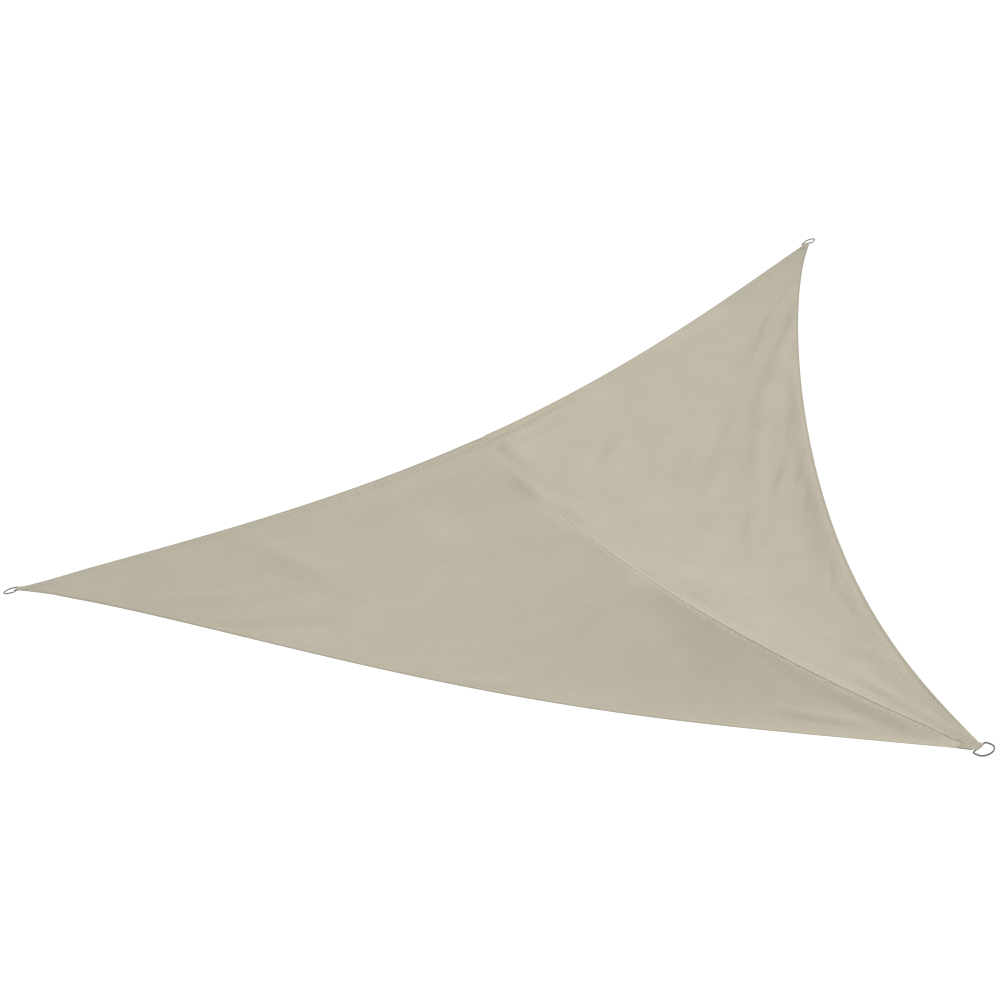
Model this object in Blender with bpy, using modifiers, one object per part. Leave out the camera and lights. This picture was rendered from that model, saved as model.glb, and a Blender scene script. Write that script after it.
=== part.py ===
"""Triangular shade sail: two cloth panels joined by one lapped seam, concave hemmed edges,
and at each corner a steel D-ring held in a cloth tab that is folded round its bar and sewn on.

The sail is modelled slack, as it hangs from its three rings, upper side up. Metres, +X right,
+Y away from the front, +Z up. The origin is the point inside the near ring where a hook bears.
"near", "left" and "high" name the corners; the seam runs from the near corner to the far edge,
so the left panel reaches the left corner and the right panel the high one.
"""
import math

import bmesh
import bpy
import numpy as np
from mathutils import Matrix

# ---- the hung triangle: ring bar to ring bar
SIDE = 3.5
LEFT_RISE = -0.156
HIGH_RISE = 0.859
LEFT_HEADING = math.radians(147.83)

# ---- cloth
CLOTH = 0.0015
HEM_THICKNESS = 0.003
HEM_WIDTH = 0.038
HEM_STEP = 0.006
SEAM_LAP = 0.022
GAP = 0.0006
# the lapped panels stand apart this far from the seam, and are level again beyond
LIFT_KEPT = 0.025
LIFT_GONE = 0.060
# where a row gets short near a corner: the largest shares of it that each strip may take
SHORT_ROW = {"lap": 0.2, "hem": 0.3, "step": 0.4}
# between a row of the cloth and its free edge
CORNER_ANGLE = math.radians(60.0)

# ---- corners: the cut end of the cloth, its tab and its ring
TIP_WIDTH = 0.030
TIP_SETBACK = 0.012
TAB_LENGTH = 0.062
TAB_WIDTH = 0.029
TAB_FLARE = 0.048
# the under tongue is this much narrower on each side, so it hides behind the cloth
TAB_INSET = 0.004
TAB_GAP = 0.0006
TAB_OPENS = 0.019
# the hem's step in thickness runs out this far from the bar
HEM_FLAT = 0.075

# ---- rings, along the middle of the wire
WIRE = 0.005
RING_WIDTH = 0.050
RING_DEPTH = 0.046
RING_CORNER = 0.007

# in degrees. cloth_pitch: slope of the cloth going in from the bar; twist: the bar's roll about
# that line, left end up when looking out; ring_yaw, ring_pitch: how the ring leans off the cloth.
# The cloth is flat to the tab's plane within flat of the bar, and free of it beyond blend
CORNER_COLUMNS = ("name", "cloth_pitch", "twist", "ring_yaw", "ring_pitch", "flat", "blend")
CORNERS = (
    ("near", -7.9, 24.0, 0.0, 0.8, 0.062, 0.220),
    ("left", 10.5, -4.5, 9.5, -15.4, 0.062, 0.280),
    ("high", -17.6, -15.1, -31.1, 22.7, 0.062, 0.220),
)

# inset: how far the middle is cut in; sag: how far it hangs; skew moves either towards the end
# corner, and peak above 0 steepens both of its ends
EDGE_COLUMNS = ("name", "start", "end", "inset", "inset_skew", "inset_peak",
                "sag", "sag_skew", "sag_peak")
EDGES = (
    ("far", "left", "high", 0.231, -0.03, -0.15, 0.069, 0.19, -0.49),
    ("right", "high", "near", 0.182, -0.21, 0.05, 0.117, 1.14, -0.86),
    ("front", "near", "left", 0.184, -1.07, -0.39, 0.185, -0.97, -0.64),
)

# ---- seam: from its foot on the far edge, as a share of that edge, to the near corner
SEAM_FOOT = 0.517
SEAM_SAG = 0.136
SEAM_SAG_SKEW = -0.32
SEAM_SAG_PEAK = 0.185

# belly: how far a panel hangs below the straight line from the seam to its free edge
PANEL_COLUMNS = ("name", "belly", "columns")
PANELS = (
    ("left", 0.045, 24),
    ("right", 0.040, 30),
)
ROWS = 50
# columns stand closer towards the free edge, and rows towards both ends
COLUMN_EASE = 1.25
ROW_EASE = 0.5

# ---- creases, seen from above: a soft trough (depth > 0) or ridge (depth < 0) along a line
FOLD_RUNOUT = 0.1
# the seam and the hems are stiff: a crease runs out this far short of them
SEAM_STIFF = 0.05
HEM_STIFF = 0.07
FOLD_COLUMNS = ("where", "x0", "y0", "x1", "y1", "half_width", "depth")
FOLDS = (
    ("left, across the middle", -1.75, 1.65, -2.21, 2.03, 0.055, -0.013),
    ("left, across the middle", -2.12, 1.66, -1.52, 1.76, 0.085, 0.011),
    ("left, along the seam", -0.61, 0.84, -0.81, 1.40, 0.085, 0.013),
    ("left, below the seam's foot", -1.64, 1.94, -1.08, 2.14, 0.085, 0.009),
    ("left, below the seam's foot", -1.49, 2.04, -1.17, 2.22, 0.085, 0.021),
    ("left, inside its edge", -2.43, 1.50, -1.83, 1.50, 0.035, 0.010),
    ("right, along the seam", -1.09, 2.30, -1.27, 2.40, 0.085, -0.008),
    ("right, along the seam", -0.47, 1.19, -0.71, 1.47, 0.085, -0.014),
    ("right, below the far edge", -1.42, 2.33, -0.90, 2.63, 0.035, -0.012),
    ("right, fanned from the high corner", -1.15, 2.12, -0.97, 2.44, 0.035, 0.008),
    ("right, fanned from the high corner", -1.22, 1.85, -0.76, 2.23, 0.085, -0.013),
    ("right, fanned from the high corner", -0.96, 2.16, -0.84, 2.50, 0.035, 0.010),
    ("right, fanned from the high corner", -0.75, 2.22, -0.81, 2.58, 0.035, 0.004),
    ("right, fanned from the high corner", -0.81, 1.84, -0.61, 2.40, 0.035, -0.007),
    ("right, fanned from the high corner", -0.59, 2.52, -0.63, 2.72, 0.055, 0.007),
    ("right, fanned from the high corner", -0.64, 2.03, -0.54, 2.21, 0.035, -0.008),
    ("right, fanned from the high corner", -0.64, 1.56, -0.34, 2.08, 0.035, -0.006),
    ("right, fanned from the high corner", -0.57, 1.85, -0.37, 2.41, 0.035, -0.010),
    ("right, fanned from the high corner", -0.63, 1.88, -0.17, 2.26, 0.085, 0.018),
    ("right, fanned from the high corner", -0.54, 1.56, -0.24, 2.08, 0.035, 0.012),
    ("right, fanned from the high corner", -0.47, 2.28, -0.27, 2.84, 0.085, 0.012),
    ("right, fanned from the high corner", -0.40, 1.80, -0.30, 2.40, 0.035, -0.009),
    ("right, inside its free edge", -0.26, 1.27, -0.26, 1.87, 0.055, 0.013),
    ("right, inside its free edge", -0.35, 2.47, -0.17, 2.79, 0.035, 0.012),
    ("right, inside its free edge", -0.34, 2.23, -0.14, 2.79, 0.035, -0.011),
    ("right, inside its free edge", -0.34, 2.61, -0.04, 3.13, 0.035, -0.012),
)


def table(columns, rows):
    """Each row as a dictionary, found by its name where it has one."""
    records = [dict(zip(columns, row)) for row in rows]
    return {r["name"]: r for r in records} if "name" in columns else records


CORNER = table(CORNER_COLUMNS, CORNERS)
EDGE = table(EDGE_COLUMNS, EDGES)
PANEL = table(PANEL_COLUMNS, PANELS)
UP = np.array((0.0, 0.0, 1.0))


def unit(vector):
    return vector / np.linalg.norm(vector)


def fade(value, low, high):
    """1 below low, 0 above high, smooth between."""
    t = np.clip((value - low) / (high - low), 0.0, 1.0)
    return 1.0 - t * t * (3.0 - 2.0 * t)


def bump(t, skew=0.0, peak=0.0):
    """A bow that is 0 at both ends and about 1 at the middle."""
    r = 2.0 * t - 1.0
    return 4.0 * t * (1.0 - t) * (1.0 + skew * r + peak * (r * r - 0.2))


# ------------------------------------------------------------------ corners
def tilted(level, pitch):
    """A level direction pitched up by so many radians."""
    return level * math.cos(pitch) + UP * math.sin(pitch)


def turned(level, yaw):
    """A level vector turned to the left by so many radians."""
    c, s = math.cos(yaw), math.sin(yaw)
    return np.array((c * level[0] - s * level[1], s * level[0] + c * level[1], 0.0))


def bar_places():
    """Middle of each ring's bar, measured from the near one: an equilateral triangle whose
    left and high corners are set by their heights."""
    reach_left = math.sqrt(SIDE ** 2 - LEFT_RISE ** 2)
    reach_high = math.sqrt(SIDE ** 2 - HIGH_RISE ** 2)
    span = math.sqrt(SIDE ** 2 - (HIGH_RISE - LEFT_RISE) ** 2)
    angle = math.acos((reach_left ** 2 + reach_high ** 2 - span ** 2) / (2 * reach_left * reach_high))
    heading = LEFT_HEADING - angle
    return {
        "near": np.zeros(3),
        "left": turned(np.array((reach_left, 0.0, 0.0)), LEFT_HEADING) + LEFT_RISE * UP,
        "high": turned(np.array((reach_high, 0.0, 0.0)), heading) + HIGH_RISE * UP,
    }


def corner_frames():
    """For each corner: bar middle, inward cloth direction, bar direction, cloth normal, and
    the ring's own outward direction, square to the bar."""
    bars = bar_places()
    middle = sum(bars.values()) / 3
    frames = {}
    for name, row in CORNER.items():
        away = bars[name] - middle
        away[2] = 0.0
        away = unit(away)
        outward = -tilted(-away, math.radians(row["cloth_pitch"]))
        flat_bar = np.cross(UP, away)
        lift = np.cross(outward, flat_bar)
        twist = math.radians(row["twist"])
        bar = flat_bar * math.cos(twist) + lift * math.sin(twist)
        pull = tilted(turned(away, math.radians(row["ring_yaw"])), math.radians(row["ring_pitch"]))
        pull = unit(pull - bar * pull.dot(bar))
        frames[name] = {"at": bars[name], "inward": -outward, "bar": bar,
                        "normal": np.cross(outward, bar), "pull": pull,
                        "flat": row["flat"], "blend": row["blend"]}
    hook = frames["near"]["pull"] * (RING_DEPTH - WIRE / 2)
    for frame in frames.values():
        frame["at"] = frame["at"] - hook
    return frames


FRAME = corner_frames()


def tip(name, side):
    """One end of the cut across a corner: side +1 is the bar's left end, looking out."""
    frame = FRAME[name]
    return frame["at"] + frame["inward"] * TIP_SETBACK + frame["bar"] * (side * TIP_WIDTH / 2)


# ------------------------------------------------------------------ cloth surface
def edge_curve(name, t):
    """A free edge from its start corner (t = 0) to its end corner (t = 1): the straight line
    plus an inset towards the third corner plus the sag."""
    row = EDGE[name]
    start, end = FRAME[row["start"]]["at"], FRAME[row["end"]]["at"]
    third = sum(f["at"] for f in FRAME.values()) - start - end
    chord = end - start
    inward = unit(np.cross(np.cross(chord, third - start), chord))
    t = np.asarray(t, float)[..., None]
    first, last = tip(row["start"], -1), tip(row["end"], 1)
    line = first + t * (last - first)
    inset = inward * row["inset"] * bump(t, row["inset_skew"], row["inset_peak"])
    sag = UP * row["sag"] * bump(t, row["sag_skew"], row["sag_peak"])
    return line + inset - sag


def seam_curve(s):
    """The seam from its foot on the far edge (s = 0) to the near corner (s = 1)."""
    foot = edge_curve("far", SEAM_FOOT)
    near = FRAME["near"]["at"] + FRAME["near"]["inward"] * TIP_SETBACK
    s = np.asarray(s, float)[..., None]
    return foot + s * (near - foot) - UP * SEAM_SAG * bump(s, SEAM_SAG_SKEW, SEAM_SAG_PEAK)


def rim_curve(panel, s, cut_row):
    """A panel's free edge, level with seam point s: it starts at the far corner's cut, which
    fills the first row, and runs down to the near corner."""
    far_tip, sign = (0.0, 1) if panel == "left" else (1.0, -1)
    along = np.clip((s - cut_row) / (1.0 - cut_row), 0.0, 1.0)
    free = edge_curve("front", 1.0 - along) if sign == 1 else edge_curve("right", along)
    corner = edge_curve("far", far_tip)
    return np.where((s <= 0.0)[..., None], corner, free)


def far_bow(panel, u):
    """How far the panel's half of the far edge leaves the straight line to its corner."""
    end = 0.0 if panel == "left" else 1.0
    edge = edge_curve("far", SEAM_FOOT + u * (end - SEAM_FOOT))
    foot, corner = edge_curve("far", SEAM_FOOT), edge_curve("far", end)
    return edge - foot - u[..., None] * (corner - foot)


def crease(points):
    """Height taken away by the creases, from each point's place seen from above: across a
    crease depth * exp(-(distance / half_width)^2), and along it a half sine that still has
    some depth at both ends."""
    depth = np.zeros(points.shape[:-1])
    for row in table(FOLD_COLUMNS, FOLDS):
        start = np.array((row["x0"], row["y0"]))
        run = np.array((row["x1"], row["y1"])) - start
        offset = points[..., :2] - start
        along = offset @ run / (run @ run)
        nearest = np.clip(along, 0.0, 1.0)[..., None] * run
        distance = np.linalg.norm(offset - nearest, axis=-1)
        taper = np.sin(math.pi * np.clip(FOLD_RUNOUT + along * (1.0 - 2.0 * FOLD_RUNOUT), 0.0, 1.0))
        depth += row["depth"] * taper * np.exp(-(distance / row["half_width"]) ** 2)
    return depth


def settle_corners(points):
    """Bring the cloth near each bar into the plane of its tab."""
    for frame in FRAME.values():
        offset = points - frame["at"]
        weight = fade(np.linalg.norm(offset, axis=-1), frame["flat"], frame["blend"])
        points = points - frame["normal"] * ((offset @ frame["normal"]) * weight)[..., None]
    return points


def surface(panel, s, u, cut_row):
    """The middle of the cloth: u runs from the seam (0) to the free edge (1), s from the far
    edge (0) to the near corner (1)."""
    s, u = np.broadcast_arrays(np.asarray(s, float), np.asarray(u, float))
    foot, rim = seam_curve(s), rim_curve(panel, s, cut_row)
    points = foot + u[..., None] * (rim - foot)
    points = points + far_bow(panel, u) * ((1.0 - s) ** 2)[..., None]
    row, seam = np.linalg.norm(rim - foot, axis=-1), np.linalg.norm(seam_curve(0.0) - seam_curve(1.0))
    free = (1.0 - fade(u * row, 0.0, SEAM_STIFF)) * (1.0 - fade((1.0 - u) * row, 0.0, HEM_STIFF))
    free = free * (1.0 - fade(s * seam, 0.0, HEM_STIFF))
    hang = PANEL[panel]["belly"] * bump(u) * bump(s) + crease(points) * free
    return settle_corners(points - UP * hang[..., None])


# ------------------------------------------------------------------ grids
def row_places():
    """Rows from the far edge: its hem, the step off the hem, then rows closer at both ends."""
    length = np.linalg.norm(seam_curve(1.0) - seam_curve(0.0))
    hem = HEM_WIDTH / length
    step = hem + HEM_STEP / length
    t = np.linspace(0.0, 1.0, ROWS - 2)
    eased = t - ROW_EASE * np.sin(2 * math.pi * t) / (2 * math.pi)
    return np.concatenate(((0.0, hem), step + (1.0 - step) * eased))


def column_places(panel, rows):
    """For each row, the columns from the seam: the lap, even columns, the step and the hem."""
    foot, rim = seam_curve(rows), rim_curve(panel, rows, rows[1])
    length = np.linalg.norm(rim - foot, axis=-1)
    slant = math.sin(CORNER_ANGLE) * length
    lap = np.minimum(SEAM_LAP / length, SHORT_ROW["lap"])
    hem = np.minimum(HEM_WIDTH / slant, SHORT_ROW["hem"])
    step = np.minimum((HEM_WIDTH + HEM_STEP) / slant, SHORT_ROW["step"])
    even = 1.0 - np.linspace(1.0, 0.0, PANEL[panel]["columns"] - 3)[None, :] ** COLUMN_EASE
    inner = lap[:, None] + even * (1.0 - step - lap)[:, None]
    return np.column_stack((np.zeros_like(length), inner, 1.0 - hem, np.ones_like(length)))


def grid_normals(points):
    across, down = np.gradient(points, axis=1), np.gradient(points, axis=0)
    normals = np.cross(across, down)
    normals /= np.linalg.norm(normals, axis=-1, keepdims=True)
    return normals * np.sign(normals[..., 2:])


def panel_grid(panel):
    """Middle surface and thickness of one panel. The right panel laps over the left one, which
    gets one more column under the lap, so the two share its points. Both are lifted apart
    square to the lap."""
    rows = row_places()
    grids = {name: surface(name, rows[:, None], column_places(name, rows), rows[1])
             for name in PANEL}
    points = grids[panel]
    seam_points, lap_points = grids["right"][:, :1], grids["right"][:, 1:2]
    hem = np.zeros(points.shape[:2])
    hem[:2, :] = 1.0
    hem[:, -2:] = 1.0
    for frame in FRAME.values():
        hem *= 1.0 - fade(np.linalg.norm(points - frame["at"], axis=-1), HEM_FLAT, 2 * HEM_FLAT)
    if panel == "left":
        points = np.concatenate((points[:, ::-1], lap_points), axis=1)
        hem = np.concatenate((hem[:, ::-1], hem[:, :1]), axis=1)
    lifted = fade(np.linalg.norm(points - seam_points, axis=-1), LIFT_KEPT, LIFT_GONE)
    lap_normals = grid_normals(grids["right"])[:, :1]
    thickness = CLOTH + (HEM_THICKNESS - CLOTH) * hem
    sign = 1.0 if panel == "right" else -1.0
    at_seam = thickness[:, -1:] if panel == "left" else thickness[:, :1]
    apart = sign * (at_seam + GAP) / 2 * lifted
    return points + lap_normals * apart[..., None], thickness


# ------------------------------------------------------------------ objects
def material(name, colour, roughness, metallic=0.0):
    mat = bpy.data.materials.new(name)
    mat.use_nodes = True
    shader = mat.node_tree.nodes["Principled BSDF"]
    shader.inputs["Base Color"].default_value = (*colour, 1.0)
    shader.inputs["Roughness"].default_value = roughness
    shader.inputs["Metallic"].default_value = metallic
    return mat


def grid_object(name, points, thickness, mat, collection):
    """A grid of points as an open sheet, thickened to both sides by its own amount."""
    rows, columns = points.shape[:2]
    bm = bmesh.new()
    bmesh.ops.create_grid(bm, x_segments=columns - 1, y_segments=rows - 1, size=1.0)
    for vertex, place in zip(bm.verts, points.reshape(-1, 3)):
        vertex.co = place
    mesh = bpy.data.meshes.new(name)
    bm.to_mesh(mesh)
    bm.free()
    mesh.shade_smooth()
    mesh.materials.append(mat)
    obj = bpy.data.objects.new(name, mesh)
    collection.objects.link(obj)
    thickest = float(thickness.max())
    group = obj.vertex_groups.new(name="thickness")
    for index, value in enumerate(thickness.ravel()):
        group.add([index], float(value) / thickest, "REPLACE")
    solid = obj.modifiers.new("thickness", "SOLIDIFY")
    solid.thickness = thickest
    solid.offset = 0.0
    solid.vertex_group = group.name
    return obj


def ring_outline():
    """The ring's wire in its own plane: the bar along X, rounded corners, and a round bow that
    ends RING_DEPTH out along Y."""
    half = RING_WIDTH / 2
    straight = RING_DEPTH - half
    inner = half - RING_CORNER
    arcs = ((inner, RING_CORNER, RING_CORNER, np.linspace(-90, 0, 4)),
            (0.0, straight, half, np.linspace(0, 180, 13)),
            (-inner, RING_CORNER, RING_CORNER, np.linspace(180, 270, 4)))
    points = [(0.0, 0.0)]
    for x, y, radius, angles in arcs:
        points += [(x + radius * math.cos(a), y + radius * math.sin(a)) for a in np.radians(angles)]
    return points


def ring_object(name, frame, mat, collection):
    """A closed D of wire, turned so its bar lies along the tab and its bow out along the pull."""
    curve = bpy.data.curves.new(name, "CURVE")
    curve.dimensions = "3D"
    curve.bevel_depth = WIRE / 2
    curve.bevel_resolution = 2
    outline = ring_outline()
    spline = curve.splines.new("POLY")
    spline.points.add(len(outline) - 1)
    for point, (x, y) in zip(spline.points, outline):
        point.co = (x, y, 0.0, 1.0)
    spline.use_cyclic_u = True
    curve.materials.append(mat)
    obj = bpy.data.objects.new(name, curve)
    axes = np.column_stack((frame["bar"], frame["pull"], np.cross(frame["bar"], frame["pull"])))
    obj.matrix_world = Matrix.Translation(frame["at"]) @ Matrix(axes.tolist()).to_4x4()
    collection.objects.link(obj)
    return obj


def tab_object(name, frame, layers, mat, collection):
    """A strap folded round the bar, with one tongue over and one under the cloth's corner,
    wider away from the bar. layers is how many panels it grips."""
    grip = (layers * CLOTH + (layers - 1) * GAP) / 2 + TAB_GAP + CLOTH / 2
    turn = WIRE / 2 + TAB_GAP + CLOTH / 2
    fold = [(turn * math.cos(a), turn * math.sin(a)) for a in np.radians(np.linspace(80, -80, 6))]
    stations = np.linspace(-TAB_LENGTH, -TAB_OPENS, 4)
    over = [(x, grip) for x in stations]
    under = [(x, -grip) for x in stations[::-1]]
    path = np.array(over + fold + under)
    spread = np.clip(-path[:, 0] / TAB_LENGTH, 0.0, 1.0)
    under = np.clip(-path[:, 1] / grip, 0.0, 1.0)
    half = (TAB_WIDTH + (TAB_FLARE - TAB_WIDTH) * spread) / 2 - TAB_INSET * under
    across = np.linspace(-1.0, 1.0, 3)
    points = (frame["at"] - frame["inward"] * path[:, None, :1] + frame["normal"] * path[:, None, 1:]
              + frame["bar"] * (half[:, None] * across)[..., None])
    return grid_object(name, points, np.full(points.shape[:2], CLOTH), mat, collection)


def main():
    for obj in list(bpy.data.objects):
        bpy.data.objects.remove(obj)
    sail = bpy.data.collections.new("shade_sail")
    bpy.context.scene.collection.children.link(sail)
    cloth = material("woven_cloth", (0.50, 0.47, 0.37), 0.85)
    steel = material("bright_steel", (0.62, 0.62, 0.60), 0.25, 1.0)
    for name in PANEL:
        points, thickness = panel_grid(name)
        grid_object(name + "_panel", points, thickness, cloth, sail)
    for name, frame in FRAME.items():
        tab_object(name + "_tab", frame, 2 if name == "near" else 1, cloth, sail)
        ring_object(name + "_ring", frame, steel, sail)


main()
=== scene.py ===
# %% [markdown]
# # A triangular shade sail
#
# The sail is two panels of sand-coloured woven polyester, joined by one lapped seam that runs
# from the near corner to the middle of the far edge. Its three edges are cut as shallow
# curves and hemmed, and at each corner a steel D-ring sits in a folded, sewn-on cloth tab.
# It hangs slack: the edges sag, each panel has a belly, and soft creases run out of the
# corners and along the seam. The shape is fitted to one photograph, and not simulated.
#
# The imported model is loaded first. It fixes where everything is, and every piece made here
# lies on one of its parts.

# %% Load the frame
import math

import bpy
import numpy as np
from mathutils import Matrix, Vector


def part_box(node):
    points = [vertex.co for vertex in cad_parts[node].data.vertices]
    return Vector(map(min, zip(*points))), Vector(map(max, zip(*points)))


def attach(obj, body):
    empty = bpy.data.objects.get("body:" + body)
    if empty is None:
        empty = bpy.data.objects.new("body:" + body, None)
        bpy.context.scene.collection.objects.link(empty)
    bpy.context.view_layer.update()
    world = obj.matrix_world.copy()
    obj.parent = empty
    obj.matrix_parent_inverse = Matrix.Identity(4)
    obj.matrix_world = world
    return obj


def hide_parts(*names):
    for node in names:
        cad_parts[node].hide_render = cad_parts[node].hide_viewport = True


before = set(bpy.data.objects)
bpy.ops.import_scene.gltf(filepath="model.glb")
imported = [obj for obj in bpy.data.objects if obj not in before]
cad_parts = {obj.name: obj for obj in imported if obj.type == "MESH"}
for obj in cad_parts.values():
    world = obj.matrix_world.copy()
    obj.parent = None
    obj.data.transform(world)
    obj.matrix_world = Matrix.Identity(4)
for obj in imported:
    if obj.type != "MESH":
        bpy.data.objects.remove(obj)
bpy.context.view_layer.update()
print("parts in the frame:", ", ".join(sorted(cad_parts)))

# %% [markdown]
# ## The hung triangle
#
# Three ring bars carry the sail. They are taken to be 3.5 m apart on every side: the left one
# 0.16 m lower than the near one, and the high one 0.86 m higher. All sizes are in metres, and
# the origin is the point inside the near ring where a hook bears.

# %% Sizes
SIDE = 3.5
LEFT_RISE = -0.156
HIGH_RISE = 0.859
LEFT_HEADING = math.radians(147.83)

RING_WIRE = 0.005
RING_WIDTH = 0.050
RING_DEPTH = 0.046
RING_CORNER = 0.007

TIP_WIDTH = 0.030
TIP_SETBACK = 0.012
# the hem's step in thickness runs out this far from the bar
HEM_FLAT = 0.075

# degrees: slope of the cloth in from the bar, the bar's roll, and how the ring leans off it.
# Within flat of the bar the cloth lies in the tab's plane, and beyond blend it is free
CORNER_COLUMNS = ("cloth_pitch", "twist", "ring_yaw", "ring_pitch", "flat", "blend")
CORNERS = {
    "near": (-7.9, 24.0, 0.0, 0.8, 0.062, 0.220),
    "left": (10.5, -4.5, 9.5, -15.4, 0.062, 0.280),
    "high": (-17.6, -15.1, -31.1, 22.7, 0.062, 0.220),
}
UP = np.array((0.0, 0.0, 1.0))


def row_of(columns, values):
    """One row of a table as a dictionary."""
    return dict(zip(columns, values))


def unit(vector):
    """The same direction, one metre long."""
    return vector / np.linalg.norm(vector, axis=-1, keepdims=True)


def fade(value, low, high):
    """1 below low and 0 above high, with 3 t^2 - 2 t^3 between."""
    t = np.clip((value - low) / (high - low), 0.0, 1.0)
    return 1.0 - t * t * (3.0 - 2.0 * t)


def bump(t, skew=0.0, peak=0.0):
    """A bow, 0 at both ends: 4 t (1 - t) (1 + skew r + peak (r^2 - 0.2)), where r = 2 t - 1."""
    r = 2.0 * t - 1.0
    return 4.0 * t * (1.0 - t) * (1.0 + skew * r + peak * (r * r - 0.2))


def tilted(level, pitch):
    """A level direction pitched up by so many radians."""
    return level * math.cos(pitch) + UP * math.sin(pitch)


def turned(level, yaw):
    """A level vector turned to the left by so many radians."""
    c, s = math.cos(yaw), math.sin(yaw)
    return np.array((c * level[0] - s * level[1], s * level[0] + c * level[1], 0.0))


# %% [markdown]
# ## Corners
#
# Each corner gets a small frame of its own: the middle of the ring's bar, the direction in
# along the cloth, the bar, the cloth's normal, and the way the ring pulls. A side of 3.5 m
# that climbs covers less ground, so the plan of the triangle comes from its heights by
# Pythagoras and the cosine rule.

# %% Corner frames
def bar_places():
    """Middle of each bar: an equilateral triangle whose corners have the given heights."""
    reach_left = math.sqrt(SIDE ** 2 - LEFT_RISE ** 2)
    reach_high = math.sqrt(SIDE ** 2 - HIGH_RISE ** 2)
    span = math.sqrt(SIDE ** 2 - (HIGH_RISE - LEFT_RISE) ** 2)
    cosine = (reach_left ** 2 + reach_high ** 2 - span ** 2) / (2 * reach_left * reach_high)
    angle = math.acos(cosine)
    return {
        "near": np.zeros(3),
        "left": turned(np.array((reach_left, 0.0, 0.0)), LEFT_HEADING) + LEFT_RISE * UP,
        "high": turned(np.array((reach_high, 0.0, 0.0)), LEFT_HEADING - angle) + HIGH_RISE * UP,
    }


def corner_frames():
    """at, inward, bar, normal and pull of each corner: inward, normal and pull are square to the
    bar. Flat and blend are copied from its row."""
    bars = bar_places()
    middle = sum(bars.values()) / 3
    frames = {}
    for name, values in CORNERS.items():
        row = row_of(CORNER_COLUMNS, values)
        away = unit((bars[name] - middle) * (1.0, 1.0, 0.0))
        outward = -tilted(-away, math.radians(row["cloth_pitch"]))
        flat_bar = np.cross(UP, away)
        twist = math.radians(row["twist"])
        bar = flat_bar * math.cos(twist) + np.cross(outward, flat_bar) * math.sin(twist)
        pull = tilted(turned(away, math.radians(row["ring_yaw"])), math.radians(row["ring_pitch"]))
        pull = unit(pull - bar * pull.dot(bar))
        frames[name] = {"at": bars[name], "inward": -outward, "bar": bar,
                        "normal": np.cross(outward, bar), "pull": pull,
                        "flat": row["flat"], "blend": row["blend"]}
    hook = frames["near"]["pull"] * (RING_DEPTH - RING_WIRE / 2)
    for corner in frames.values():
        corner["at"] = corner["at"] - hook
    return frames


def from_bar(points, corner):
    """Distance of each point from the middle of a corner's bar."""
    return np.linalg.norm(points - corner["at"], axis=-1)


CORNER = corner_frames()
for name, corner in CORNER.items():
    low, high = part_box(name + "_ring")
    print(name, "bar at", corner["at"].round(3), "ring from", np.round(low, 3),
          "to", np.round(high, 3))

# %% [markdown]
# ## Edges and seam
#
# An edge is three things added up: the straight line between two corners, the inset that it
# is cut with, and its sag. A skew moves the deepest point towards one end, and a peak makes
# it flatter or sharper. One photograph can't tell inset from sag, so these numbers are fitted
# to its outline and have no cause of their own. They leave two places that slack cloth
# wouldn't have: by the left corner the front edge stands up to 7 mm outside and 9 mm above
# its straight line, and by the high corner the right edge stands up to 14 mm above its own.
# The seam hangs the same way, and stands above the panels as a ridge.

# %% Edge and seam curves
EDGE_COLUMNS = ("start", "end", "inset", "inset_skew", "inset_peak", "sag", "sag_skew", "sag_peak")
EDGES = {
    "far": ("left", "high", 0.231, -0.03, -0.15, 0.069, 0.19, -0.49),
    "right": ("high", "near", 0.182, -0.21, 0.05, 0.117, 1.14, -0.86),
    "front": ("near", "left", 0.184, -1.07, -0.39, 0.185, -0.97, -0.64),
}
SEAM_FOOT = 0.517
SEAM_SAG = 0.136
SEAM_SAG_SKEW = -0.32
SEAM_SAG_PEAK = 0.185


def tip(name, side):
    """One end of the cut across a corner: side +1 is the bar's left end, looking out."""
    corner = CORNER[name]
    return corner["at"] + corner["inward"] * TIP_SETBACK + corner["bar"] * (side * TIP_WIDTH / 2)


def edge_curve(name, t):
    """Straight line + inset bump(t) towards the third corner - sag bump(t) upwards."""
    row = row_of(EDGE_COLUMNS, EDGES[name])
    start, end = CORNER[row["start"]]["at"], CORNER[row["end"]]["at"]
    third = sum(corner["at"] for corner in CORNER.values()) - start - end
    chord = end - start
    inward = unit(np.cross(np.cross(chord, third - start), chord))
    t = np.asarray(t, float)[..., None]
    first, last = tip(row["start"], -1), tip(row["end"], 1)
    inset = inward * row["inset"] * bump(t, row["inset_skew"], row["inset_peak"])
    sag = UP * row["sag"] * bump(t, row["sag_skew"], row["sag_peak"])
    return first + t * (last - first) + inset - sag


def seam_curve(s):
    """Straight line from the foot (s = 0) to the near corner (s = 1), less the sag bump(s)."""
    foot = edge_curve("far", SEAM_FOOT)
    near = CORNER["near"]["at"] + CORNER["near"]["inward"] * TIP_SETBACK
    s = np.asarray(s, float)[..., None]
    return foot + s * (near - foot) - UP * SEAM_SAG * bump(s, SEAM_SAG_SKEW, SEAM_SAG_PEAK)


def length_of(points):
    """Length of a line through points."""
    return float(np.linalg.norm(np.diff(points, axis=0), axis=1).sum())


along = np.linspace(0.0, 1.0, 201)
for name in EDGES:
    print(name, "edge is", round(length_of(edge_curve(name, along)), 3), "m along the cloth")
print("the seam is", round(length_of(seam_curve(along)), 3), "m")

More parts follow.
